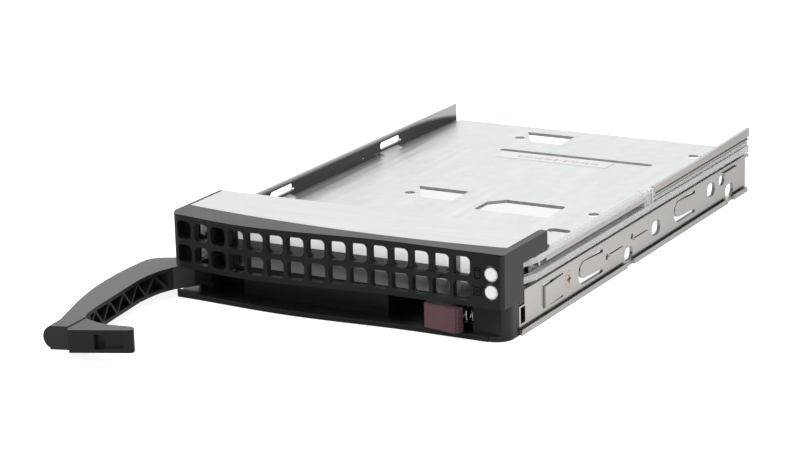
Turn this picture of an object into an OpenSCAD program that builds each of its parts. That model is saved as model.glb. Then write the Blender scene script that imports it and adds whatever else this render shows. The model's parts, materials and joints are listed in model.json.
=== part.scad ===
// Hot-swap drive carrier: a steel tray with a raised deck for a 2.5 inch
// drive, a perforated bezel, a sprung latch lever and its release button.
// X runs across the bezel, Y runs to the rear, Z runs up. The origin is on
// the base, at mid width, in the plane of the bezel's front right corner.

/* [Tray] */
// Width over the bezel
carrier_w = 106; // [105:0.5:108]
// Length from the bezel's front plane to the rear edge
carrier_l = 175.3; // [174:0.5:185]
// Height of the deck's top face above the base
deck_z = 13.9; // [13.5:0.1:14.5]
// Thickness of the steel sheet
sheet_t = 1; // [0.8:0.1:1]
// Height of the two side rails
rail_h = 19.4; // [19:0.1:19.5]
// How far the rails' lips stand outside the bezel's sides
rail_lip = 0.9; // [0.5:0.1:1]

/* [Drive seat] */
// Hole spacing across the drive
seat_w = 61.72; // [61:0.01:62]
// Hole spacing along the drive
seat_l = 76.6; // [76:0.1:77]
// Radius of the holes, clearance for M3
seat_hole_r = 1.6; // [1.55:0.05:1.8]
// X of the left pair of holes
seat_x = -20.4; // [-22:0.1:-19]
// Y of the front pair of holes
seat_y = 83.5; // [82:0.1:86]

/* [Bezel] */
// Height of the bezel
bezel_h = 24.9; // [24.5:0.1:26]
// Height of the grille's lower edge, which is the recess's ceiling
grille_z = 9.65; // [9.6:0.05:9.8]
// Depth of the bowed part of the face, which the closed lever follows
bow_d = 3.7; // [3:0.1:3.8]
// Thickness of the perforated face
face_t = 2.2; // [2:0.1:2.4]
// Number of hole columns
grille_cols = 15; // [13:1:15]
// Pitch of the hole columns
grille_pitch = 6.27; // [6.2:0.01:6.3]
// Width of a grille hole
grille_hole_w = 5.2; // [4.8:0.1:5.3]
// Height of a grille hole
grille_hole_h = 5.3; // [4.8:0.1:5.4]
// Length of the side ears
ear_l = 27.3; // [26:0.1:28]

/* [Lever] */
// Closing angle of the lever, from the open stop
lever_turn = 83; // [80:1:84]
// Height of the lever
lever_h = 6.6; // [6.2:0.1:6.8]
// Underside of the lever
lever_z = 2.5; // [2.4:0.1:2.6]
// Radius of the lever's pivot pin
pin_r = 1.25; // [1:0.05:1.4]
// Radial clearance on the pivot pin
pin_gap = 0.05; // [0.03:0.01:0.1]

/* [Button] */
// Travel of the release button
button_travel = 2; // [1.5:0.1:2]
// Width of the button's cap
button_w = 11.6; // [11:0.1:11.8]
// Free length of the button's spring
button_spring_l = 8.2; // [8:0.1:8.2]

/* [Hidden] */
$fn = 48;
eps = 0.01;
half_w = carrier_w / 2;

// Side rails. The left one is a plain upright web; the right one has a ledge
// inwards, then a channel open to the side that holds the light pipes.
web_in = half_w - sheet_t;
lip_out = half_w + rail_lip;
chan_out = half_w - 3;
chan_in = chan_out - sheet_t;
ledge_z = 11.9;
rail_y = 9.4;
left_rail_y = 17;
chan_y = 21.5;
screw_y = 41.1;
screw_z = 7.2;
tab_at = [[47.2, 6.5], [116.2, 7.1]];
tab_l = 16.8;
tab_h = 6.9;
tab_front = 2.4;
flap_y = [24.2, 37.2];
flap_z = [3.2, 10.2];
flap_turn = 3.2;
tab_turn = 5;
upper_slot_y = [60.5, 128.8];
upper_slot_z = 16.5;
shelf_z = 17.4;
clip_y = 97.2;
wall_y = clip_y + 3.8;
channel_end = carrier_l + 3;
rise_y = 135;
rise = 0.9;
rivet_y = 24.6;
rivet_z = 15.8;

// Deck.
deck_front = 6.6;
flange_z = 9.9;
screw_tab_z = 3.6;
screw_tab_y = [33, 49];
side_flange_y = [28.5, 168];
deck_notch_x = 42.2;
deck_notch_y = 12.6;
pipe_notch_x = 46;
pipe_notch_y = 22;
seat_y2 = seat_y + seat_l;
seat_x2 = seat_x + seat_w;

// Bezel.
plate_t = 1;
top_t = 1.5;
ear_t = 2;
left_ear_t = 1;
ear_z = 19.6;
cheek_l = 12.3;
row_z = [13.8, 20.7];
col_x0 = 40.5;
floor_t = 0.8;
lip_h = 1.5;
column_x = 42.6;
lens_x = 49.3;
lens_z = [14.2, 19.2];
lens_r = 2;
lens_gap = 0.15;
lens_back = 2.7;

// Lever, described in its closed place and then turned open about the pin.
pivot = [-48.8, 13.2];
boss_r = 3.1;
lever_skin = 1.1;
truss_x0 = -33;
grip_x = 16.4;
grip_y = 1.4;
hook_seam = [[22.9, 6.5], [14.2, 7]];
truss_bays = 5;
truss_pitch = 8.6;
rib_t = 0.7;
spring_r = 2.3;
spring_wire = 0.45;
spring_turns = 3;

// Button.
button_x = 28.3;
button_z0 = 1.9;
button_z1 = 8.7;
button_slant = 11.2;
seat_bore_r = 3.1;
button_spring_r = 2.5;
button_spring_wire = 0.5;
button_axis_y = 5.7;
button_axis_z = 5.2;
catch_x = button_x - 3.2 - button_travel;

// Light pipes.
pipe_w = 1.9;
pipe_x = half_w - pipe_w / 2;
pipe_lower_z = 13.6;
pipe_upper_z = 18.35;
pipe_rear_z = 15.4;
floor_x = half_w - 1.3;

// Y of the face at x: a smooth bow round x0, flat beyond left and right of it.
function bow(x, x0, left, right, depth) =
    let (u = (x - x0) / (x < x0 ? left : right))
    abs(u) < 1 ? -depth * (1 + cos(180 * u)) / 2 : 0;
function face_y(x) = bow(x, -25, 34, 48, bow_d);
function lip_y(x) = 0.7 + bow(x, -14, 42, 42, 2.1);
// Y of the cover plate's front edge: a long arc.
function plate_y(x) = 4.7 + pow(x - 8, 2) / 700;
// X positions from a to b in even steps.
function steps(a, b, n) = [for (i = [0:n]) a + (b - a) * i / n];

// A wall that follows the face, from x0 to x1, between two depths.
module face_wall(x0, x1, y0, y1, z0, z1) {
    xs = steps(x0, x1, 48);
    translate([0, 0, z0])
        linear_extrude(z1 - z0)
            polygon(concat([for (x = xs) [x, face_y(x) + y0]],
                [for (i = [len(xs) - 1:-1:0]) [xs[i], face_y(xs[i]) + y1]]));
}

// A rectangle and a box, given by their lowest and highest corners.
module square_at(low, high) {
    translate(low) square(high - low);
}
module block(low, high) {
    translate(low) cube(high - low);
}

// A rounded rectangle, centred.
module round_rect(w, h, r) {
    square([w - 2 * r, h], center = true);
    square([w, h - 2 * r], center = true);
    for (sx = [-1, 1], sy = [-1, 1])
        translate([sx * (w / 2 - r), sy * (h / 2 - r)]) circle(r, $fn = 24);
}

// A prism along Y with a rounded rectangular section.
module slot_y(x, z, w, h, r, y0, y1) {
    translate([x, y1, z])
        rotate([90, 0, 0])
            linear_extrude(y1 - y0) round_rect(w, h, r);
}

// A prism along X with a rounded rectangular section, long along Y.
module slot_x(y, z, w, h, r, x0, x1) {
    translate([x0, y, z])
        rotate([90, 0, 90])
            linear_extrude(x1 - x0) round_rect(w, h, r);
}

// A section in X and Z, extruded along Y.
module along_y(y0, y1) {
    translate([0, y1, 0]) rotate([90, 0, 0]) linear_extrude(y1 - y0) children();
}

module both_sides() {
    for (m = [0, 1]) mirror([m, 0, 0]) children();
}

// A cylinder along X.
module rod_x(x0, x1, y, z, r) {
    translate([x0, y, z]) rotate([0, 90, 0]) cylinder(x1 - x0, r, r);
}

// A helix of round wire: an exact count of rings, one every 30 degrees.
function ring(centre, side, up, r, n) =
    [for (k = [0:n - 1]) centre + side * r * cos(360 * k / n)
        + up * r * sin(360 * k / n)];
module helix(r, wire, length, turns) {
    n = 8;
    per_turn = 14;
    rings = turns * per_turn;
    pts = [for (i = [0:rings])
        let (a = 360 * i / per_turn, d = [cos(a), sin(a), 0])
        each ring(d * r + [0, 0, wire / 2 + (length - wire) * i / rings],
            d, [0, 0, 1], wire / 2, n)];
    sides = [for (i = [0:rings - 1], k = [0:n - 1])
        let (a = i * n, b = (k + 1) % n) [a + k, a + b, a + n + b, a + n + k]];
    start = [for (k = [n - 1:-1:0]) k];
    stop = [for (k = [0:n - 1]) rings * n + k];
    polyhedron(pts, concat([start], sides, [stop]));
}

// ---- Tray ----

module deck_window(low, high, r) {
    mid = (low + high) / 2;
    translate([mid[0], mid[1], deck_z - 2])
        linear_extrude(3) round_rect(high[0] - low[0], high[1] - low[1], r);
}

module deck_windows() {
    // Relief windows beside the left pair of drive holes, each with a slanted
    // side that passes behind its hole
    for (y = [80.5, 157.1])
        translate([0, y, deck_z - 2])
            linear_extrude(3) polygon([[-15, 0], [-4.4, 0], [-4.4, 11.4], [-21.6, 11.4]]);
    // Wide window in front of the middle, and the one ahead of it
    difference() {
        deck_window([6, 74.6], [30.3, 88], 1.2);
        translate([5, 89, deck_z]) rotate([0, 0, 45]) cube([9, 9, 6], center = true);
    }
    deck_window([35.8, 61.5], [43, 65.3], 1.8);
    // Long slot behind the label
    deck_window([-19.4, 142.2], [34, 144.9], 1.3);
}

// Side flanges: the left one lies on the plain web, the right one goes under
// the channel. Tabs reach down to the screws.
module deck_sides() {
    t = sheet_t;
    along_y(side_flange_y[0], side_flange_y[1]) {
        square_at([-web_in, ledge_z - t], [t - web_in, deck_z - t + eps]);
        square_at([chan_in - t, ledge_z - 2 * t], [chan_in, deck_z - t + eps]);
        square_at([chan_in - t, ledge_z - 2 * t], [chan_out + 0.8, ledge_z - t]);
    }
    along_y(screw_tab_y[0], screw_tab_y[1]) {
        square_at([-web_in, screw_tab_z], [t - web_in, ledge_z]);
        square_at([chan_in, ledge_z - 2 * t], [web_in, ledge_z - t]);
        square_at([web_in - t, screw_tab_z], [web_in, ledge_z - t]);
    }
}

module deck_plate() {
    color([0.78, 0.80, 0.80])
        difference() {
            union() {
                block([-web_in, deck_front, deck_z - sheet_t],
                    [chan_in, carrier_l, deck_z]);
                block([-deck_notch_x, deck_front, flange_z],
                    [deck_notch_x, deck_front + sheet_t, deck_z - eps]);
                deck_sides();
                // Tongues bent up towards the left rail's long slots
                for (y = upper_slot_y)
                    along_y(y - 8, y + 4)
                        polygon([[3.2 - web_in, deck_z - 0.3], [2.2 - web_in, deck_z - 0.3],
                            [0.1 - web_in, deck_z + 0.2], [0.1 - web_in, deck_z + 0.9]]);
            }
            deck_windows();
            // Drive holes, with a shallow seat for each screw's head below
            for (x = [seat_x, seat_x2], y = [seat_y, seat_y2])
                translate([x, y, deck_z - 2]) {
                    cylinder(3, seat_hole_r, seat_hole_r);
                    cylinder(1.25, 3, 3);
                }
            both_sides() {
                rod_x(web_in - 2, web_in + 2, screw_y, screw_z, 1.3);
                // Corner notches behind the bezel's pillars
                block([deck_notch_x, deck_front - 1, deck_z - 2],
                    [half_w, deck_notch_y, deck_z + 1]);
            }
            block([pipe_notch_x, deck_front - 1, deck_z - 2],
                [half_w, pipe_notch_y, deck_z + 1]);
            // Lead-in at the rear corners
            for (x = [-web_in, chan_in])
                translate([x, carrier_l, deck_z - 2])
                    rotate([0, 0, 45]) cube([3, 3, 6], center = true);
        }
}

// Section of a rail's web up to a height, with the lip along its foot.
module web_section(h) {
    square_at([web_in, 0], [half_w, h]);
    square_at([web_in, 0], [lip_out, sheet_t]);
    square_at([lip_out - 0.6, 0], [lip_out, 1.6]);
}

// Section of the channel: a ledge, a back web and a shelf.
module channel_section() {
    t = sheet_t;
    square_at([chan_in, ledge_z - t], [half_w, ledge_z]);
    square_at([chan_in, ledge_z - t], [chan_out, shelf_z]);
    square_at([chan_in, shelf_z - t], [half_w, shelf_z]);
}

// Upright wall above the channel's rear part, whose top edge rises to the rear.
module channel_wall() {
    translate([web_in, 0, 0])
        rotate([90, 0, 90])
            linear_extrude(sheet_t)
                polygon([[wall_y, shelf_z - sheet_t / 2], [channel_end, shelf_z - sheet_t / 2],
                    [channel_end, rail_h + rise], [rise_y, rail_h], [wall_y, rail_h]]);
}

module web_openings() {
    x0 = web_in - 0.5;
    x1 = lip_out + 1;
    // Countersunk screw hole
    rod_x(x0, x1, screw_y, screw_z, 1.6);
    translate([half_w - 0.9, screw_y, screw_z])
        rotate([0, 90, 0]) cylinder(1.5, 1.6, 3.1);
    // Oval and round holes
    for (p = [[82.2, 3.6, 6, 4], [102.5, 6.3, 6.4, 4.4], [146.1, 7.4, 6.4, 4.4],
            [161.4, 3.6, 6.6, 4.2]])
        slot_x(p[0], p[1], p[2], p[3], 1.9, x0, x1);
    slot_x(155, 8.4, 4.6, 3.4, 1.6, x0, x1);
    for (p = [[66.9, 6.7, 0.9], [84.7, 8.2, 0.9]])
        rod_x(x0, x1, p[0], p[1], p[2]);
    // Openings round the flap and the spring tabs
    block([x0, flap_y[0], flap_z[0]], [x1, flap_y[1], flap_z[1]]);
    for (p = tab_at)
        translate([x0, p[0], p[1]])
            rotate([90, 0, 90]) linear_extrude(x1 - x0) tab_outline(0, 0);
    // Notches in the lower lip
    for (y = [82.2, 161.2])
        block([half_w + 0.1, y - 2.6, -1], [lip_out + 1, y + 2.6, 3]);
}

// Outline of a spring tab: an arc in front, straight sides, its root behind.
module tab_outline(gap, front) {
    r = tab_h / 2;
    translate([r + front, 0]) circle(r - gap);
    translate([r + front, gap - r]) square([tab_l - r - front, tab_h - 2 * gap]);
}

// The flap, turned outwards, and the spring tabs, turned inwards, each about
// its root.
module spring_tabs() {
    translate([web_in, flap_y[1], 0])
        rotate([0, 0, flap_turn])
            block([0, 0.5 + flap_y[0] - flap_y[1], flap_z[0] + 0.5],
                [sheet_t, 0.4, flap_z[1] - 0.5]);
    for (p = tab_at)
        translate([web_in, p[0] + tab_l, p[1]])
            rotate([0, 0, -tab_turn])
                translate([0, 0.4 - tab_l, 0])
                    rotate([90, 0, 90]) linear_extrude(sheet_t) tab_outline(1, tab_front);
}

module rail_web_marks() {
    // Raised lines beside the small holes
    for (p = [[73.2, 6.7, 9.6], [91, 7, 10]])
        slot_x(p[0], p[1], p[2], 0.7, 0.3, web_in + 0.2, half_w + 0.3);
    slot_x(161.4, 10, 12, 1, 0.4, web_in + 0.2, half_w + 0.6);
}

module right_rail() {
    color([0.72, 0.69, 0.67]) {
        difference() {
            union() {
                along_y(rail_y, carrier_l) web_section(ledge_z);
                along_y(rail_y, channel_end) channel_section();
                channel_wall();
                rail_web_marks();
            }
            web_openings();
            // Groove along the wall's foot
            block([half_w - 0.7, wall_y + 1, shelf_z - 0.55],
                [half_w + 1, channel_end + 1, shelf_z + 0.05]);
            rod_x(chan_in - 1, chan_out + 1, rivet_y, rivet_z, 1);
            // Window for the bezel's snap
            slot_x(11.7, 5.2, 2.8, 4.6, 0.4, web_in - 1, half_w + 1);
            // Room for the cheek above the front end, and for the light pipes
            block([chan_in - 1, rail_y - 1, 8],
                [lip_out + 1, cheek_l + 0.4, rail_h + 1]);
            block([chan_in - 1, rail_y - 1, ledge_z + 0.2],
                [lip_out, chan_y, rail_h + 1]);
            // Notches in the shelf: for the rivet's head, where the upper pipe
            // steps down, and for its clip
            block([chan_out, rivet_y - 2, shelf_z - 2],
                [half_w + 1, rivet_y + 2, shelf_z + 1]);
            block([chan_out, clip_y - 1.9, shelf_z - 2],
                [half_w + 1, clip_y + 1.7, shelf_z + 1]);
            block([half_w - 1.6, clip_y + 1.6, shelf_z - 2],
                [half_w + 1, wall_y, shelf_z + 1]);
        }
        spring_tabs();
    }
}

module left_rail() {
    color([0.62, 0.60, 0.59])
        mirror([1, 0, 0]) {
            difference() {
                union() {
                    along_y(left_rail_y, carrier_l) web_section(rail_h);
                    rail_web_marks();
                }
                web_openings();
                for (y = upper_slot_y)
                    slot_x(y, upper_slot_z, 14, 2.4, 1.1, web_in - 1, half_w + 1);
                rod_x(web_in - 1, half_w + 1, 110.8, 15.2, 0.6);
                rod_x(web_in - 1, half_w + 1, rivet_y, rivet_z, 1);
            }
            spring_tabs();
        }
}

module cover_plate() {
    xs = steps(0.15 + left_ear_t - half_w, half_w - ear_t - 0.3, 40);
    rear = ear_l + 0.4;
    under = bezel_h - plate_t;
    color([0.85, 0.85, 0.83]) {
        difference() {
            translate([0, 0, under])
                linear_extrude(plate_t)
                    polygon(concat([for (x = xs) [x, plate_y(x)]],
                        [[xs[40], rear], [xs[0], rear]]));
            for (x = [-3.8, 19])
                translate([x, rear, bezel_h]) cylinder(3, 0.5, 0.5, center = true);
        }
        // Rear edge turned down
        block([-47, rear - 0.9, bezel_h - 3], [47, rear, under + eps]);
        // Side flanges riveted to the rails
        difference() {
            union() {
                block([chan_in - 0.9, chan_y + 0.2, deck_z], [chan_in, rear, under + eps]);
                block([1.2 - web_in, 18.4, rail_h], [2.1 - web_in, rear, under + eps]);
                block([-web_in, 18.4, rail_h - 0.9], [2.1 - web_in, rear, rail_h + eps]);
                block([-web_in, 18.4, deck_z], [0.9 - web_in, rear, rail_h]);
            }
            both_sides()
                rod_x(chan_in - 2, half_w, rivet_y, rivet_z, 1);
        }
    }
}

// A countersunk Phillips screw whose head faces +Z at the origin.
module csk_screw() {
    difference() {
        union() {
            translate([0, 0, -0.9]) cylinder(0.9, 1.55, 2.4);
            translate([0, 0, -3.4]) cylinder(2.6, 1.25, 1.25);
        }
        for (a = [0, 90])
            rotate([0, 0, a]) cube([2.4, 0.7, 1.5], center = true);
    }
}

module deck_screws() {
    color([0.80, 0.72, 0.55])
        both_sides()
            translate([half_w, screw_y, screw_z]) rotate([0, 90, 0]) csk_screw();
}

module cover_rivets() {
    color([0.7, 0.7, 0.7]) {
        rivet(chan_out);
        mirror([1, 0, 0]) rivet(half_w);
    }
}

// A rivet through two sheets, with its low head at x.
module rivet(x) {
    translate([x, rivet_y, rivet_z])
        rotate([0, 90, 0]) {
            cylinder(0.5, 1.7, 1.2);
            translate([0, 0, -2]) cylinder(2.1, 0.95, 0.95);
            translate([0, 0, -2.3]) cylinder(0.4, 1.6, 1.6);
        }
}

module deck_label() {
    color([0.95, 0.94, 0.93])
        translate([2.5, 138.1, deck_z]) linear_extrude(0.12) round_rect(39, 7.4, 0.6);
}

// ---- Bezel ----

module grille_holes() {
    for (i = [0:grille_cols - 1], z = row_z)
        slot_y(col_x0 - i * grille_pitch, z, grille_hole_w, grille_hole_h, 1.4, -6, 3.5);
}

module bezel_outline_cut() {
    // Rounded front left corner
    translate([-half_w, 0, -1])
        difference() {
            translate([-2, -6, 0]) cube([7.6, 10.6, 40]);
            translate([5.6, 4.6, -1]) cylinder(42, 5.6, 5.6);
        }
    // Lightly rounded right corner
    translate([half_w - 1.2, 1.2, -1])
        difference() {
            translate([0, -2, 0]) cube([2, 2, 40]);
            translate([0, 0, -1]) cylinder(42, 1.2, 1.2);
        }
}

module bezel_grille() {
    color([0.17, 0.18, 0.19])
        difference() {
            union() {
                face_wall(-half_w, half_w, 0, face_t, grille_z, bezel_h - 0.4);
                // Top strip in front of the cover plate, and the ledge under it
                bezel_top();
                // Cheeks and ears
                block([half_w - ear_t, 1, ear_z], [half_w, ear_l, bezel_h]);
                block([-half_w, 1, ear_z], [left_ear_t - half_w, ear_l, bezel_h]);
                block([half_w - ear_t, 1, grille_z], [half_w, cheek_l, bezel_h]);
                block([-half_w, 1, grille_z], [ear_t - half_w, cheek_l, ear_z + eps]);
                // The right cheek reaches lower behind the rounded column
                block([half_w - ear_t, 9.4, 8.4], [half_w, cheek_l, grille_z + eps]);
                // Snap behind the right ear
                block([half_w - 1.8, ear_l - 0.2, ear_z], [half_w - 0.4, ear_l + 2, 20.4]);
                // Divider shelf behind the face, with a straight rear edge
                block([-38.2, face_t - 3, row_z[0] + grille_hole_h / 2 + 0.1],
                    [34.3, 6, row_z[1] - grille_hole_h / 2 - 0.1]);
                // Inner pillars behind the outer hole columns
                block([-50.9, 1, grille_z], [-45.2, 12, bezel_h - top_t]);
                block([-38.2, 0, grille_z], [-33.6, 5.9, bezel_h - top_t]);
                block([43.6, 1, grille_z], [45.6, 12, bezel_h - top_t]);
                // Wall between the light pipes and the deck
                block([45.6, 1, grille_z], [47.8, 5, bezel_h - top_t]);
                block([46.3, 1, grille_z], [47.8, pipe_notch_y - 0.3, ear_z]);
                // Ceiling that holds the head of the pivot pin
                block([-52.5, 1, grille_z], [-44, 16.2, grille_z + 1.6]);
            }
            bezel_outline_cut();
            grille_holes();
            for (z = lens_z)
                translate([lens_x, 4, z]) rotate([90, 0, 0]) cylinder(8, lens_r + lens_gap, lens_r + lens_gap);
            translate([pivot[0], pivot[1], grille_z - 1]) cylinder(2, pin_r, pin_r);
        }
}

module bezel_top() {
    xs = steps(-half_w, half_w, 48);
    // The strip is level behind a small front bevel
    translate([0, 0, bezel_h - top_t])
        linear_extrude(top_t)
            polygon(concat([for (x = xs) [x, face_y(x) + 0.35]],
                [for (i = [48:-1:0]) [xs[i], plate_y(xs[i]) - 0.15]]));
    translate([0, 0, bezel_h - plate_t - 1.2])
        linear_extrude(1.2)
            polygon(concat([for (x = xs) [x, face_y(x) + 0.8]],
                [for (i = [48:-1:0]) [xs[i], plate_y(xs[i]) + 2]]));
}

module housing_floor_2d() {
    xs = steps(-half_w, half_w, 48);
    difference() {
        polygon(concat([for (x = xs) [x, lip_y(x)]], [[half_w, 9.2], [floor_x, 9.2],
            [floor_x, 26], [-floor_x, 26], [-floor_x, 16.4], [-half_w, 16.4]]));
        // Rounded front corners
        translate([half_w, 0])
            difference() {
                translate([-5, -2]) square([7, 8]);
                translate([-5, 6]) circle(5);
            }
        translate([-half_w, 0])
            difference() {
                translate([-1, -2]) square([5, 6]);
                translate([4, 4]) circle(4);
            }
    }
}

module latch_housing() {
    color([0.15, 0.16, 0.17])
        difference() {
            union() {
                linear_extrude(floor_t) housing_floor_2d();
                // Raised front lip
                linear_extrude(lip_h)
                    intersection() {
                        housing_floor_2d();
                        polygon(concat([for (x = steps(-half_w, half_w, 48)) [x, lip_y(x) - 1]],
                            [for (x = steps(half_w, -half_w, 48)) [x, lip_y(x) + 2.6]]));
                    }
                housing_column();
                // Back wall of the lever recess
                translate([0, 0, floor_t - eps])
                    linear_extrude(grille_z - floor_t - 0.1)
                        polygon([[-34, 8.9], [13.7, 7.5], [13.7, 25.5], [12.5, 25.5],
                            [12.5, 8.8], [-32.8, 10.2], [-32.8, 17.5],
                            [-floor_x, 17.5], [-floor_x, 16.6], [-34, 16.6]]);
                // Side wall behind it
                block([-45.2, 17, floor_t - eps], [-44, 25.5, 6]);
                // Rear wall of the catch pocket and of the button's bay
                block([12.5, 24.6, floor_t - eps], [48.4, 25.8, grille_z - 0.1]);
                block([-45.2, 24.6, floor_t - eps], [13.7, 25.8, 4]);
                // Post under the lever's boss
                translate([pivot[0], pivot[1], 0]) cylinder(lever_z - 0.2, boss_r, boss_r);
                // Guide rib in the button's groove
                block([29, 8.6, floor_t - eps], [42, 9.6, 2.6]);
            }
            translate([pivot[0], pivot[1], -1]) cylinder(6, pin_r, pin_r);
        }
}

// The solid end of the housing beside the button, with a rounded corner.
module housing_column() {
    difference() {
        translate([0, 0, floor_t - eps])
            linear_extrude(grille_z - floor_t + eps)
                intersection() {
                    housing_floor_2d();
                    translate([column_x, 2.2]) square([half_w - column_x, 7]);
                }
        // Blind hole that holds the end of the button's spring
        rod_x(column_x - 1, column_x + 1, button_axis_y, button_axis_z, seat_bore_r);
    }
    block([column_x + 1.4, 9, floor_t - eps], [column_x + 2.6, 25, grille_z - 0.1]);
}

module lens(z) {
    translate([lens_x, 0, z])
        rotate([90, 0, 0]) {
            translate([0, 0, -2.6]) cylinder(2.3, lens_r, lens_r);
            translate([0, 0, -0.3]) cylinder(0.4, lens_r, lens_r - 0.5);
        }
}

module lens_upper() {
    color([0.96, 0.96, 0.95]) lens(lens_z[1]);
}

module lens_lower() {
    color([0.96, 0.96, 0.95]) lens(lens_z[0]);
}

// A light pipe: a square rod that runs along the rail and cranks inwards to
// its lens. Its path in plan is a list of points a rod's width wide.
module pipe_run(points, z, h) {
    translate([0, 0, z - h / 2])
        linear_extrude(h)
            for (i = [0:len(points) - 2])
                let (a = points[i], b = points[i + 1], l = norm(b - a))
                translate(a)
                    rotate(atan2(b[1] - a[1], b[0] - a[0])) {
                        translate([0, -pipe_w / 2]) square([l, pipe_w]);
                        circle(pipe_w / 2, $fn = 24);
                    }
}

module light_pipe_lower() {
    color([0.90, 0.92, 0.92, 0.6]) {
        pipe_run([[pipe_x, channel_end - 0.6], [pipe_x, chan_y - 1], [lens_x, 11],
            [lens_x, lens_back]], pipe_lower_z, pipe_w);
        // Inlet block at the rear
        block([half_w - pipe_w, channel_end - 4, pipe_lower_z - 1.2],
            [half_w, channel_end - 0.1, pipe_lower_z + 1.1]);
    }
}

module light_pipe_upper() {
    color([0.90, 0.92, 0.92, 0.6]) {
        pipe_run([[pipe_x, clip_y], [pipe_x, chan_y - 1], [lens_x, 11],
            [lens_x, lens_back]], pipe_upper_z, pipe_w);
        // The front end widens to the height of its lens
        block([lens_x - pipe_w / 2, lens_back, pipe_upper_z],
            [lens_x + pipe_w / 2, 10, lens_z[1] + 1.2]);
        // It steps down at the clip and runs on behind the lower pipe
        block([chan_out + 0.1, clip_y - 1.6, pipe_rear_z - 0.6],
            [half_w - 0.1, clip_y + 1.4, pipe_upper_z + 0.9]);
        block([chan_out + 0.1, clip_y, pipe_rear_z - 0.6],
            [chan_out + 1, clip_y + 5, pipe_rear_z + 0.5]);
        block([chan_out + 0.1, clip_y + 4, pipe_rear_z - 0.6],
            [half_w - 0.4, channel_end - 0.6, pipe_rear_z + 0.5]);
    }
}

module light_pipe_clip() {
    z0 = pipe_lower_z + pipe_w / 2;
    color([0.90, 0.92, 0.92, 0.6]) {
        block([chan_out, clip_y - 3.4, z0], [half_w, clip_y - 2.1, shelf_z - 1.1]);
        block([chan_out + 1.4, clip_y + 1.9, z0], [half_w, clip_y + 3.6, shelf_z - 1.1]);
        block([half_w - 1.4, clip_y + 1.9, z0], [half_w, clip_y + 3.6, rail_h - 0.3]);
        block([half_w - 1.6, clip_y - 3.4, z0], [half_w, clip_y + 3.6, z0 + 0.2]);
    }
}

// A slotted contact strip behind the grille, with a leg to the rear at x.
module grounding_strip(x, leg_x) {
    color([0.80, 0.80, 0.78]) {
        difference() {
            block([x, 4, grille_z + 1.7], [x + 2.3, 4.3, bezel_h - 2.6]);
            slot_y(x + 1.1, 20.4, 0.8, 4.4, 0.3, 3, 5);
        }
        block([leg_x, 4, grille_z + 1.7], [leg_x + 0.3, 6.5, bezel_h - 2.6]);
    }
}

module grounding_strip_left() {
    grounding_strip(-44.9, -44.9);
}

module grounding_strip_right() {
    grounding_strip(34.6, 36.6);
}

// ---- Lever, in its closed place ----

// Outer edge of the closed lever: the root's bend, then the face's bow.
function lever_y(x) = face_y(x + 1) + bow(x, -8, 26, 26, 0.9) + 0.1
    + 1.6 * pow(max(x, 0) / 20, 2);
lever_root = [[-45.9, 9.6], [-44.7, 5], [-43.4, 1.3], [-41.9, -1]];
lever_inner = [[10.9, 5.9], [4, 5.4], [-14.7, 5.1], [-21.2, 5], [-26.4, 5.6],
    [-30.8, 6.6], [-35.2, 8.6], [-40, 13], [-45, 16]];

module lever_plan() {
    polygon(concat(lever_root, [for (x = steps(-40, grip_x, 30)) [x, lever_y(x)]],
        [[grip_x, grip_y], [24, grip_y]], hook_seam, lever_inner,
        [pivot + [0, 2], pivot - [2, 0]]));
    translate(pivot) circle(boss_r);
}

// Hollow of the channel, open to the lever's inner side.
module lever_channel_2d() {
    xs = steps(truss_x0 - 0.6, 9, 24);
    polygon(concat([for (x = xs) [x, lever_y(x) + 1.3]], [[9, 20], [xs[0], 20]]));
}

// Zig-zag band that braces the channel's two flanges.
module truss_band(z0, h) {
    w = rib_t / cos(atan2(h, truss_pitch / 2));
    zig = [for (i = [0:2 * truss_bays]) [truss_x0 + i * truss_pitch / 2,
        z0 - w / 2 + (i % 2 == 0 ? -0.2 : h + 0.2)]];
    polygon(concat(zig, [for (i = [2 * truss_bays:-1:0]) zig[i] + [0, w]]));
}

module lever_closed() {
    z0 = lever_z + lever_skin;
    clear_h = lever_h - 2 * lever_skin;
    difference() {
        translate([0, 0, lever_z]) linear_extrude(lever_h) lever_plan();
        difference() {
            translate([0, 0, z0]) linear_extrude(clear_h) lever_channel_2d();
            along_y(-8, 21) truss_band(z0, clear_h);
        }
        translate([pivot[0], pivot[1], lever_z - 1])
            cylinder(lever_h + 2, pin_r + pin_gap, pin_r + pin_gap);
        // Gap between the two knuckles, where the spring's coil sits
        translate([pivot[0], pivot[1], lever_z + 1.9])
            cylinder(lever_h - 3.8, boss_r + 0.4, boss_r + 0.4);
    }
}

module open_lever() {
    translate([pivot[0], pivot[1], 0])
        rotate([0, 0, -lever_turn])
            translate([-pivot[0], -pivot[1], 0])
                children();
}

module lever_handle() {
    color([0.20, 0.21, 0.22]) open_lever() lever_closed();
}

// The hook that enters the catch pocket, with the catch's window.
module hook_closed() {
    face = atan2(22.3 - 7.6, 20.6 - 25);
    difference() {
        translate([0, 0, lever_z])
            linear_extrude(lever_h - 0.2)
                polygon(concat([for (i = [1:-1:0]) hook_seam[i]], [[25, 7.6], [20.43, 22.87],
                    [20.15, 23.6], [19.4, 24], [18, 23.6], [17.25, 22.6], [17.2, 20.9],
                    [17.6, 16], [16.6, 12], [15.4, 9.2]]));
        translate([25, 7.6, lever_z + 1])
            rotate([0, 0, face]) {
                translate([6.9, -1, 0]) cube([2.7, 4.2, 4.1]);
                translate([9.5, -1, 0.3]) cube([5.2, 2.1, 4.3]);
            }
    }
}

module lever_hook() {
    color([0.17, 0.18, 0.19]) open_lever() hook_closed();
}

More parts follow.
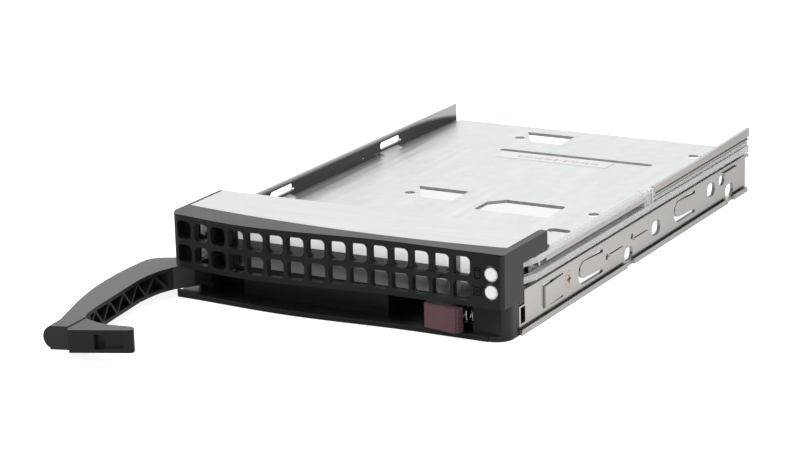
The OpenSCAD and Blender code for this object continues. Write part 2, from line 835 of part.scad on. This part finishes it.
// Ribbed half-round nose at the free end of the lever.
module grip_closed() {
    r = lever_h / 2;
    ribs = 6;
    pitch = 1.25;
    intersection() {
        for (i = [0:ribs - 1]) {
            rod_x(grip_x + i * pitch, grip_x + (i + 0.62) * pitch, 2.4, lever_z + r, r);
            rod_x(grip_x + i * pitch, grip_x + (i + 1) * pitch, 2.4, lever_z + r, r - 0.35);
        }
        block([10, -4, 0], [30, grip_y, 12]);
    }
}

module lever_grip() {
    color([0.22, 0.23, 0.24]) open_lever() grip_closed();
}

module lever_pivot_pin() {
    color([0.75, 0.75, 0.75])
        translate([pivot[0], pivot[1], 0.2]) cylinder(grille_z + 0.7, pin_r - 0.02, pin_r - 0.02);
}

module lever_spring() {
    color([0.72, 0.72, 0.70])
        translate([pivot[0], pivot[1], lever_z + 2.05])
            helix(spring_r, spring_wire, lever_h - 4.1, spring_turns);
}

// ---- Button ----

module release_button() {
    cap_t = 2.8;
    rim = 0.65;
    w = button_w / cos(button_slant);
    color([0.36, 0.14, 0.16])
        difference() {
            union() {
                // Slanted cap with a raised field
                translate([button_x, 0.3, button_z0])
                    rotate([0, 0, -button_slant])
                        linear_extrude(button_z1 - button_z0)
                            polygon([[0, cap_t], [0, 0.7], [rim, 0.5], [rim, 0], [w - rim, 0],
                                [w - rim, 0.5], [w, 0.7], [w, cap_t]]);
                // Slider body behind the cap
                block([button_x + 1, 0.8, button_z0], [button_x + 8.4, 16.8, button_z1]);
                // Catch that reaches towards the lever's hook
                block([catch_x, 14.8, 4], [button_x + 4, 16.8, 7.2]);
            }
            rod_x(button_x + 6.2, button_x + 12, button_axis_y, button_axis_z, seat_bore_r);
            block([button_x - 1, 8.2, 0], [button_x + 12, 10, 3]);
        }
}

module button_spring() {
    color([0.72, 0.72, 0.70])
        translate([button_x + 6.3, button_axis_y, button_axis_z])
            rotate([0, 90, 0])
                helix(button_spring_r, button_spring_wire, button_spring_l, 4);
}

deck_plate();
left_rail();
right_rail();
cover_plate();
bezel_grille();
latch_housing();
lever_handle();
lever_hook();
lever_grip();
lever_pivot_pin();
lever_spring();
release_button();
button_spring();
light_pipe_upper();
light_pipe_lower();
light_pipe_clip();
lens_upper();
lens_lower();
grounding_strip_left();
grounding_strip_right();
deck_screws();
cover_rivets();
deck_label();
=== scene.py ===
"""A hot-swap drive carrier with its latch lever swung open.

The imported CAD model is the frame. This script gives its nodes their
materials and soft edges, and adds the small fittings and printed marks.
Lengths are in metres, in the CAD model's own frame.
"""
import json
import math

import bpy
from mathutils import Matrix, Vector


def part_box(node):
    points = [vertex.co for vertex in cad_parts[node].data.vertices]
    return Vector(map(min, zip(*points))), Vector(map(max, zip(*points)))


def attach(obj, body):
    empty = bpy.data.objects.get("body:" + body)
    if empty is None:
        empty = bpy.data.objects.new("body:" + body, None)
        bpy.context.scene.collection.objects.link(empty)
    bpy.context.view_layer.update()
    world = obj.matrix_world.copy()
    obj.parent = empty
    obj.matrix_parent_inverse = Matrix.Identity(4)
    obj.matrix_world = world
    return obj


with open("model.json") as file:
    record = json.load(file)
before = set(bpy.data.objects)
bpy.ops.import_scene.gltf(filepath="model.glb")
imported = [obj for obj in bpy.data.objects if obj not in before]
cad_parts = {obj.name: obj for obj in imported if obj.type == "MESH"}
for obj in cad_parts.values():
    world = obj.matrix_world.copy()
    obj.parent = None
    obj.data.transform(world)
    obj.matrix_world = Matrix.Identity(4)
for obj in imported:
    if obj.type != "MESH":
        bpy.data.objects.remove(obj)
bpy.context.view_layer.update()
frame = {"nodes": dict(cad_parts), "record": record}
NODES = frame["nodes"]
MM = 0.001


# ---- Materials ----

class Shader:
    """A Principled material, with short calls for the nodes it is built from."""

    def __init__(self, name):
        self.mat = bpy.data.materials.new(name)
        self.mat.use_nodes = True
        self.tree = self.mat.node_tree
        self.bsdf = self.tree.nodes["Principled BSDF"]
        self.coords = self.tree.nodes.new("ShaderNodeTexCoord").outputs["Object"]

    def node(self, kind, inputs=None, **settings):
        n = self.tree.nodes.new(kind)
        for key, value in settings.items():
            setattr(n, key, value)
        for key, value in (inputs or {}).items():
            self.set(n.inputs[key], value)
        return n

    def set(self, socket, value):
        if isinstance(value, bpy.types.NodeSocket):
            self.tree.links.new(value, socket)
        else:
            socket.default_value = value

    def constants(self, **values):
        for key, value in values.items():
            self.bsdf.inputs[key.replace("_", " ")].default_value = value

    def noise(self, per_mm, detail=2.0, rough=0.5):
        """Noise with its own count of features per millimetre along each axis."""
        scale = per_mm if isinstance(per_mm, tuple) else (per_mm,) * 3
        place = self.node("ShaderNodeMapping", {"Vector": self.coords,
                                                "Scale": [s / MM for s in scale]})
        return self.node("ShaderNodeTexNoise", {"Vector": place.outputs[0], "Scale": 1.0,
                                                "Detail": detail, "Roughness": rough}).outputs[0]

    def ramp(self, fac, stops):
        n = self.node("ShaderNodeValToRGB", {"Fac": fac})
        while len(n.color_ramp.elements) < len(stops):
            n.color_ramp.elements.new(0.5)
        for element, (at, color) in zip(n.color_ramp.elements, stops):
            element.position = at
            element.color = color if len(color) == 4 else (*color, 1)
        return n.outputs["Color"]

    def levels(self, value, low, high, to_low=0.0, to_high=1.0):
        return self.node("ShaderNodeMapRange", {"Value": value, "From Min": low, "From Max": high,
                                                "To Min": to_low, "To Max": to_high}).outputs[0]

    def mix(self, fac, a, b):
        n = self.node("ShaderNodeMix", data_type="RGBA")
        for socket, value in ((n.inputs[0], fac), (n.inputs[6], a), (n.inputs[7], b)):
            if not isinstance(value, bpy.types.NodeSocket) and socket.type == "RGBA":
                value = (*value[:3], 1)
            self.set(socket, value)
        return n.outputs[2]

    def math(self, op, a, b=0.0):
        return self.node("ShaderNodeMath", {0: a, 1: b}, operation=op).outputs[0]

    def edges(self, radius):
        """A mask that is 1 on sharp edges, from a rounded normal against the true one."""
        rounded = self.node("ShaderNodeBevel", {"Radius": radius * MM}, samples=4).outputs[0]
        flat = self.node("ShaderNodeNewGeometry").outputs["Normal"]
        same = self.node("ShaderNodeVectorMath", {0: rounded, 1: flat},
                         operation="DOT_PRODUCT").outputs["Value"]
        return self.levels(same, 0.99, 0.78)

    def bump(self, height, depth):
        n = self.node("ShaderNodeBump", {"Height": height, "Distance": depth * MM,
                                         "Strength": 1.0})
        self.set(self.bsdf.inputs["Normal"], n.outputs[0])


# The left wall's painted highlight band, standing in for a reflection, in millimetres: the
# heights it starts and is full at, and the run of Y over which it comes down, and by how much
HIGHLIGHT_START, HIGHLIGHT_FULL = 17.9, 19.1
HIGHLIGHT_RUN = 140, 176
HIGHLIGHT_DROP = 3.4
# How far a sheet's rubbed edges take their brighter colour
EDGE_WEAR = 0.5
# Grains of moulded plastic per millimetre
MOULD_GRAIN = 3.5


def tint(color, k):
    """A colour made lighter or darker by a factor."""
    return tuple(min(1.0, c * k) for c in color)


def sheet_metal(name, color, rough, grain, spangle, painted_highlight=None, painted_shade=None):
    """Rolled sheet: grain along one axis, zinc spangles, handling marks, bright cut edges.
    A painted highlight colour, standing in for a reflection, is used above a line that runs down
    towards the rear. A painted shade (axis, from, to, colour) is used below from, and fades out
    towards to."""
    s = Shader(name)
    streaks = s.noise(grain, 3)
    mottle = s.noise(0.06, 3)
    fine = s.noise(1.3, 2)
    cells = s.node("ShaderNodeTexVoronoi", {"Vector": s.coords, "Scale": 0.35 / MM})
    base = s.ramp(streaks, [(0.25, tint(color, 0.97)), (0.75, tint(color, 1.02))])
    cloudy = s.mix(s.levels(mottle, 0.35, 0.7, 0, 0.5), base, tint(color, 0.94))
    spangled = s.mix(spangle, cloudy, s.ramp(cells.outputs["Color"],
                     [(0.2, tint(color, 0.93)), (0.8, tint(color, 1.04))]))
    specks = s.levels(s.noise(0.55, 2, 0.7), 0.73, 0.78, 0, 0.35)
    marked = s.mix(specks, spangled, tint(color, 0.45))
    s.constants(Metallic=1.0)
    # A painted highlight: a bright, less metallic band along the wall's top that stands in for a
    # reflection
    if painted_highlight:
        place = s.node("ShaderNodeSeparateXYZ", {"Vector": s.coords})
        run = s.levels(place.outputs["Y"], HIGHLIGHT_RUN[0] * MM, HIGHLIGHT_RUN[1] * MM)
        drop = s.math("MULTIPLY", s.math("POWER", run, 2.0), HIGHLIGHT_DROP * MM)
        bright = s.levels(s.math("ADD", place.outputs["Z"], drop),
                          HIGHLIGHT_START * MM, HIGHLIGHT_FULL * MM)
        marked = s.mix(bright, marked, painted_highlight)
        s.set(s.bsdf.inputs["Metallic"], s.levels(bright, 0.0, 1.0, 1.0, 0.3))
    # A painted shade: a darker colour below a line along one axis, standing in for shade
    if painted_shade:
        axis, low, high, shade_colour = painted_shade
        place = s.node("ShaderNodeSeparateXYZ", {"Vector": s.coords})
        marked = s.mix(s.levels(place.outputs[axis], low * MM, high * MM), shade_colour, marked)
    edge = s.edges(0.3)
    s.set(s.bsdf.inputs["Base Color"],
          s.mix(s.math("MULTIPLY", edge, EDGE_WEAR), marked, tint(color, 1.2)))
    s.set(s.bsdf.inputs["Roughness"],
          s.levels(s.math("ADD", streaks, s.math("MULTIPLY", fine, 0.6)), 0.4, 1.2,
                   rough - 0.08, rough + 0.1))
    s.bump(s.math("ADD", streaks, s.math("MULTIPLY", mottle, 3.0)), 0.012)
    return s.mat


def moulded(name, color, rough, edge_lightening=0.3, worn_and_highlight=None, depth=0.012, shine=0.4):
    """Moulded plastic with a fine spark-eroded grain, lighter along its edges: partly rubbed
    wear, partly a painted highlight.
    """
    s = Shader(name)
    skin = s.noise(MOULD_GRAIN, 2, 0.6)
    cloud = s.noise(0.05, 3)
    scuffs = s.levels(s.noise((0.12, 1.6, 1.6), 3, 0.65), 0.64, 0.72, 0, 0.25)
    base = s.ramp(cloud, [(0.3, tint(color, 0.85)), (0.7, tint(color, 1.15))])
    worn_and_highlight = worn_and_highlight or tint(color, 5.0)
    scuffed = s.mix(scuffs, base, tint(worn_and_highlight, 0.7))
    # Edges take the worn colour: partly rubbed wear, partly a painted highlight along the edges
    rubbed_and_highlight = s.math("MULTIPLY", s.edges(0.28), s.levels(cloud, 0.3, 0.7, edge_lightening * 0.5, edge_lightening))
    s.set(s.bsdf.inputs["Base Color"], s.mix(rubbed_and_highlight, scuffed, worn_and_highlight))
    s.set(s.bsdf.inputs["Roughness"],
          s.levels(s.math("ADD", skin, cloud), 0.6, 1.4, rough - 0.07, rough + 0.08))
    s.bump(skin, depth)
    s.constants(Specular_IOR_Level=shine)
    return s.mat


def clear_plastic(name, color, rough, transmission):
    """Clear moulded acrylic with faint flow lines and dust."""
    s = Shader(name)
    flow = s.noise((1.2, 0.05, 1.2), 2)
    dust = s.levels(s.noise(1.8, 3, 0.7), 0.62, 0.75, 0, 0.12)
    s.set(s.bsdf.inputs["Base Color"],
          s.mix(dust, s.ramp(flow, [(0.3, tint(color, 0.92)), (0.7, color)]), tint(color, 0.75)))
    s.set(s.bsdf.inputs["Roughness"], s.levels(flow, 0.3, 0.7, rough, rough + 0.12))
    s.bump(flow, 0.006)
    s.constants(Transmission_Weight=transmission, IOR=1.49)
    return s.mat


def paper(name, color):
    """Coated label stock with a faint fibre and a soft sheen."""
    s = Shader(name)
    fibre = s.noise((2.5, 0.6, 2.5), 4)
    s.set(s.bsdf.inputs["Base Color"],
          s.ramp(fibre, [(0.3, tint(color, 0.94)), (0.7, color)]))
    s.set(s.bsdf.inputs["Roughness"], s.levels(fibre, 0.3, 0.7, 0.42, 0.6))
    s.bump(fibre, 0.01)
    return s.mat


# The deck's front flange under the cover, seen through the lower grille holes, gets a painted
# shade in front of Y 7 mm
STEEL_DECK = sheet_metal("deck_steel", (0.755, 0.782, 0.778), 0.36, (0.5, 0.02, 0.5), 0.35,
                         painted_shade=("Y", 7.0, 7.9, (0.46, 0.46, 0.45)))
STEEL_COVER = sheet_metal("cover_steel", (0.76, 0.76, 0.748), 0.36, (0.02, 0.6, 0.6), 0.15)
STEEL_RAIL = sheet_metal("rail_steel", (0.62, 0.595, 0.575), 0.22, (1.2, 0.015, 1.2), 0.1)
# The left wall's steel gets a dark colour as painted shade, with a painted highlight band along
# its top
STEEL_WALL_PAINTED_SHADE = sheet_metal("wall_steel_painted_shade", (0.18, 0.177, 0.17), 0.20, (1.2, 0.015, 1.2), 0.1,
                         painted_highlight=(0.74, 0.72, 0.70))
STEEL_BRIGHT = sheet_metal("spring_steel", (0.70, 0.70, 0.68), 0.22, (2.0, 2.0, 2.0), 0.0)
STEEL_SCREW = sheet_metal("screw_steel", (0.66, 0.60, 0.49), 0.28, (1.5, 1.5, 1.5), 0.0)
BLACK_BEZEL = moulded("bezel_plastic", (0.0080, 0.0094, 0.0096), 0.33, shine=0.42,
                      worn_and_highlight=(0.045, 0.048, 0.048))
BLACK_HOUSING = moulded("housing_plastic", (0.0070, 0.0084, 0.0088), 0.30, shine=0.4,
                        worn_and_highlight=(0.05, 0.052, 0.052))
BLACK_LEVER = moulded("lever_plastic", (0.0090, 0.0096, 0.0100), 0.32, shine=1.0)
BLACK_HOOK = moulded("hook_plastic", (0.0020, 0.0023, 0.0024), 0.30, shine=0.92)
MAROON = moulded("button_plastic", (0.077, 0.031, 0.036), 0.26, shine=0.8,
                 worn_and_highlight=(0.20, 0.09, 0.10))
CLEAR = clear_plastic("clear_plastic", (0.95, 0.955, 0.95), 0.04, 0.55)
LENS = clear_plastic("lens_plastic", (0.86, 0.86, 0.85), 0.25, 0.15)
LABEL = paper("label_paper", (0.54, 0.54, 0.535))
INK_PINK = paper("label_ink", (0.42, 0.34, 0.35))
PRINT = moulded("printed_mark", (0.0010, 0.0011, 0.0012), 0.5, edge_lightening=0.0, depth=0.002,
                shine=0.04)
RIM = moulded("lens_rim", (0.004, 0.0045, 0.005), 0.2, edge_lightening=0.0, depth=0.002)

FINISH = {
    "deck_plate": STEEL_DECK, "left_rail": STEEL_WALL_PAINTED_SHADE, "right_rail": STEEL_RAIL,
    "cover_plate": STEEL_COVER, "bezel_grille": BLACK_BEZEL, "latch_housing": BLACK_HOUSING,
    "lever_handle": BLACK_LEVER, "lever_hook": BLACK_HOOK, "lever_grip": BLACK_LEVER,
    "lever_pivot_pin": STEEL_BRIGHT, "lever_spring": STEEL_BRIGHT,
    "release_button": MAROON, "button_spring": STEEL_BRIGHT,
    "light_pipe_upper": CLEAR, "light_pipe_lower": CLEAR, "light_pipe_clip": CLEAR,
    "lens_upper": LENS, "lens_lower": LENS,
    "grounding_strip_left": STEEL_BRIGHT, "grounding_strip_right": STEEL_BRIGHT,
    "deck_screws": STEEL_SCREW, "cover_rivets": STEEL_BRIGHT, "deck_label": LABEL,
}
# Edge radius of each node in millimetres, where it isn't sharp
SOFT_EDGE = {
    "bezel_grille": 0.25, "latch_housing": 0.3, "lever_handle": 0.25, "lever_hook": 0.3,
    "release_button": 0.3, "cover_plate": 0.15, "light_pipe_upper": 0.2,
    "light_pipe_lower": 0.2, "light_pipe_clip": 0.1,
}


def soften(obj, radius):
    """Round the sharp edges by a radius in millimetres."""
    bevel = obj.modifiers.new("soft_edge", "BEVEL")
    bevel.width = radius * MM
    bevel.segments = 3
    bevel.limit_method = "ANGLE"
    bevel.angle_limit = math.radians(40)


for name, material in FINISH.items():
    obj = NODES[name]
    obj.data.materials.clear()
    obj.data.materials.append(material)
    if name in SOFT_EDGE:
        soften(obj, SOFT_EDGE[name])


# ---- Small pieces ----

def mesh_piece(name, verts, faces, material):
    """A new piece in millimetres that rides on the carrier."""
    mesh = bpy.data.meshes.new(name)
    mesh.from_pydata([tuple(c * MM for c in v) for v in verts], [], faces)
    mesh.validate()
    mesh.update()
    mesh.materials.append(material)
    obj = bpy.data.objects.new(name, mesh)
    bpy.context.collection.objects.link(obj)
    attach(obj, "carrier")


def revolved(centre, axis, profile, count=40):
    """A closed ring: a profile of (radius, height) points turned about an axis."""
    ahead = Vector(axis).normalized()
    side = ahead.orthogonal().normalized()
    up = ahead.cross(side)
    n = len(profile)
    verts, faces = [], []
    for k in range(count):
        a = 2 * math.pi * k / count
        out = side * math.cos(a) + up * math.sin(a)
        verts += [Vector(centre) + out * r + ahead * h for r, h in profile]
        m = (k + 1) % count
        faces += [(k * n + j, m * n + j, m * n + (j + 1) % n, k * n + (j + 1) % n)
                  for j in range(n)]
    return verts, faces


def ribbon(points, width, closed=False):
    """A flat line of even width through points in a plane, as rows of left and right sides."""
    pts = [Vector(p) for p in points]
    sides = []
    for i, p in enumerate(pts):
        before = pts[i - 1] if i or closed else p
        after = pts[(i + 1) % len(pts)] if i + 1 < len(pts) or closed else p
        along = (after - before).normalized()
        across = Vector((-along.y, along.x)) * (width / 2)
        sides.append((p + across, p - across))
    return sides


def flat_marks(name, strokes, lift, depth, material):
    """Thin raised marks. Each stroke is (points, width, closed); lift places a point of
    the marks' own plane at a height above it."""
    verts, faces = [], []
    for points, width, closed in strokes:
        sides = ribbon(points, width, closed)
        first = len(verts)
        for left, right in sides:
            for p, h in ((left, 0), (right, 0), (right, depth), (left, depth)):
                verts.append(lift(p, h))
        for i in range(len(sides) if closed else len(sides) - 1):
            a, b = first + 4 * i, first + 4 * ((i + 1) % len(sides))
            faces += [(a + k, b + k, b + (k + 1) % 4, a + (k + 1) % 4) for k in range(4)]
        if not closed:
            last = first + 4 * (len(sides) - 1)
            faces += [(first + 3, first + 2, first + 1, first),
                      (last, last + 1, last + 2, last + 3)]
    return mesh_piece(name, verts, faces, material)


def oval(cx, cy, rx, ry, start=0.0, stop=360.0, count=20):
    """Points on an ellipse or part of one, from start to stop in degrees."""
    whole = stop - start >= 360
    return [(cx + rx * math.cos(math.radians(start + (stop - start) * k / count)),
             cy + ry * math.sin(math.radians(start + (stop - start) * k / count)))
            for k in range(count if whole else count + 1)]


def box_mm(node):
    """The low and high corners of a node's box, in millimetres."""
    low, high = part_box(node)
    return Vector(low) / MM, Vector(high) / MM


def lens_rims():
    """A thin glossy ring round each lens, standing just proud of the face."""
    section = [(2.12, -0.3), (2.12, 0.05), (2.25, 0.14), (2.42, 0.14), (2.52, 0.05),
               (2.52, -0.3)]
    for name in ("upper", "lower"):
        low, high = box_mm("lens_" + name)
        centre = ((low.x + high.x) / 2, 0.0, (low.z + high.z) / 2)
        verts, faces = revolved(centre, (0, -1, 0), section)
        mesh_piece("rim_" + name, verts, faces, RIM)


# Depth of a printed mark's foot below the face it lies on, in millimetres
SUNK = 0.005


def pictograms():
    """Generic symbols beside the lenses: a drum for the disk and a ringed lamp with rays."""
    low, high = box_mm("lens_upper")
    x = low.x - 2.0
    upper_z = (low.z + high.z) / 2
    low, high = box_mm("lens_lower")
    lower_z = (low.z + high.z) / 2
    line = 0.22
    rx, ry, half = 0.85, 0.38, 1.1
    disk = [(oval(x, upper_z + half, rx, ry), line, True),
            (oval(x, upper_z - half, rx, ry, 180, 360), line, False),
            ([(x - rx, upper_z + half), (x - rx, upper_z - half)], line, False),
            ([(x + rx, upper_z + half), (x + rx, upper_z - half)], line, False)]
    lamp = [(oval(x, lower_z, r, r), line, True) for r in (1.15, 0.42)]
    near, far = 0.9, 1.5
    rays = [([(x - far, lower_z - far), (x - near, lower_z - near)], line, False),
            ([(x + near, lower_z + near), (x + far, lower_z + far)], line, False),
            ([(x - far, lower_z + far), (x - near, lower_z + near)], line, False),
            ([(x + near, lower_z - near), (x + far, lower_z - far)], line, False)]
    flat_marks("face_marks", disk + lamp + rays, lambda p, h: (p[0], SUNK - h, p[1]), 0.04,
               PRINT)


def label_bars():
    """Plain bars on the label, in place of print."""
    widths, gaps = (0.35, 0.6, 0.3, 0.8, 0.45), (0.35, 0.5, 0.9)
    margin_left, margin_right = 7.0, 3.0
    low, high = box_mm("deck_label")
    mid = (low.y + high.y) / 2 - 0.6
    strokes = []
    x = low.x + margin_left
    step = 0
    while x < high.x - margin_right:
        width = widths[step % len(widths)]
        tall = 2.3 + 0.5 * math.sin(step * 1.7)
        strokes.append(([(x, mid - tall / 2), (x, mid + tall / 2)], width, False))
        x += width + gaps[step % len(gaps)]
        step += 1
    flat_marks("label_bars", strokes, lambda p, h: (p[0], p[1], high.z + h - SUNK), 0.03,
               INK_PINK)


def drive_hole_rims():
    """The formed ring round each drive hole of the deck."""
    section = [(1.7, -0.1), (1.7, 0.08), (1.95, 0.12), (2.3, 0.05), (2.5, -0.1)]
    mount = next(m for m in frame["record"]["mounts"] if m["kind"] == "bolt_pattern")
    cx, cy, cz = (c / MM for c in mount["pos_m"])
    dx, dy = mount["dims"]["spacing_x_mm"] / 2, mount["dims"]["spacing_y_mm"] / 2
    for i, (sx, sy) in enumerate(((-1, -1), (1, -1), (-1, 1), (1, 1))):
        verts, faces = revolved((cx + sx * dx, cy + sy * dy, cz), (0, 0, 1), section)
        mesh_piece("hole_rim_%d" % i, verts, faces, STEEL_DECK)


lens_rims()
pictograms()
label_bars()
drive_hole_rims()


# ---- Stage ----

def stage_floor():
    """A lit table: nearly white to the eye, even in shadow, but a soft grey in reflections,
    and white again beside the right rail."""
    reach, gap = 4.0, 0.2 * MM
    mesh = bpy.data.meshes.new("floor")
    mesh.from_pydata([(-reach, -reach, 0), (reach, -reach, 0), (reach, reach, 0),
                      (-reach, reach, 0)], [], [(0, 1, 2, 3)])
    floor = bpy.data.objects.new("floor", mesh)
    bpy.context.collection.objects.link(floor)
    floor.location.z = -gap
    s = Shader("floor_white")
    s.set(s.bsdf.inputs["Base Color"],
          s.ramp(s.noise(0.002), [(0.3, (0.44, 0.44, 0.44)), (0.7, (0.46, 0.46, 0.46))]))
    rays = s.node("ShaderNodeLightPath")
    s.set(s.bsdf.inputs["Emission Strength"],
          s.levels(rays.outputs["Is Camera Ray"], 0.0, 1.0, 0.6, 0.86))
    s.constants(Roughness=0.9, Specular_IOR_Level=0.0, Emission_Color=(1, 1, 1, 1))
    place = s.node("ShaderNodeSeparateXYZ", {"Vector": s.coords})
    to_right = s.levels(place.outputs["X"], 0.04, 0.062)
    to_rear = s.levels(place.outputs["Y"], 0.03, 0.30, 1.0, 0.5)
    glow = s.ramp(s.math("MULTIPLY", to_right, to_rear),
                  [(0.0, (0.26, 0.26, 0.26)), (1.0, (0.92, 0.90, 0.88))])
    reflected = s.node("ShaderNodeEmission", {"Color": glow, "Strength": 1.0})
    shown = s.node("ShaderNodeMixShader", {0: rays.outputs["Is Glossy Ray"], 1: s.bsdf.outputs[0],
                                           2: reflected.outputs[0]})
    s.set(s.tree.nodes["Material Output"].inputs["Surface"], shown.outputs[0])
    mesh.materials.append(s.mat)


def area_light(name, place, target, size, power):
    """A rectangular light at a place, turned to a target."""
    light = bpy.data.lights.new(name, "AREA")
    light.shape = "RECTANGLE"
    light.size, light.size_y = size
    light.energy = power
    obj = bpy.data.objects.new(name, light)
    bpy.context.collection.objects.link(obj)
    obj.location = place
    aim = Vector(target) - Vector(place)
    obj.rotation_euler = aim.to_track_quat("-Z", "Y").to_euler()


def studio():
    """White all round, with soft dark flags, and two area lights."""
    scene = bpy.context.scene
    scene.view_settings.view_transform = "Standard"
    world = scene.world or bpy.data.worlds.new("studio")
    scene.world = world
    world.use_nodes = True
    tree = world.node_tree
    back = tree.nodes["Background"]
    back.inputs["Strength"].default_value = 0.95
    # One flag low at the right rear and one in front. Each is (way to it, cosines at its
    # soft outer and inner rims, brightness inside).
    flags = (((0.50, 0.84, 0.20), 0.64, 0.90, 0.05),
             ((-0.25, -0.95, 0.05), 0.45, 0.85, 0.7))
    way = tree.nodes.new("ShaderNodeTexCoord").outputs["Generated"]
    light = None
    for toward, outer, inner, shade in flags:
        near = tree.nodes.new("ShaderNodeVectorMath")
        near.operation = "DOT_PRODUCT"
        tree.links.new(way, near.inputs[0])
        near.inputs[1].default_value = Vector(toward).normalized()
        flag = tree.nodes.new("ShaderNodeMapRange")
        flag.interpolation_type = "SMOOTHSTEP"
        for key, value in (("From Min", outer), ("From Max", inner),
                           ("To Min", 1.0), ("To Max", shade)):
            flag.inputs[key].default_value = value
        tree.links.new(near.outputs["Value"], flag.inputs["Value"])
        if light:
            both = tree.nodes.new("ShaderNodeMath")
            both.operation = "MULTIPLY"
            tree.links.new(light, both.inputs[0])
            tree.links.new(flag.outputs[0], both.inputs[1])
            light = both.outputs[0]
        else:
            light = flag.outputs[0]
    tree.links.new(light, back.inputs["Color"])
    area_light("key", (-0.7, -0.5, 1.1), (0, 0.05, 0), (0.9, 0.9), 12)
    area_light("top", (0.1, 0.4, 1.3), (0, 0.08, 0), (1.2, 1.0), 9)


def camera():
    """The camera of the calibrated view: yaw, pitch and roll in radians, lens in millimetres."""
    stand = 0.349592, -0.591018, 0.219076
    yaw, pitch, roll = 0.506, 0.273, -0.023
    lens, sensor = 117.05, 36
    ahead = Vector((-math.sin(yaw) * math.cos(pitch), math.cos(yaw) * math.cos(pitch),
                    -math.sin(pitch)))
    level = ahead.cross(Vector((0, 0, 1))).normalized()
    above = level.cross(ahead)
    right = math.cos(roll) * level + math.sin(roll) * above
    up = math.cos(roll) * above - math.sin(roll) * level
    data = bpy.data.cameras.new("camera")
    data.sensor_width = sensor
    data.lens = lens
    data.clip_start = 0.01
    cam = bpy.data.objects.new("camera", data)
    bpy.context.collection.objects.link(cam)
    turn = Matrix((right, up, -ahead)).transposed().to_4x4()
    cam.matrix_world = Matrix.Translation(stand) @ turn
    bpy.context.scene.camera = cam


stage_floor()
studio()
camera()
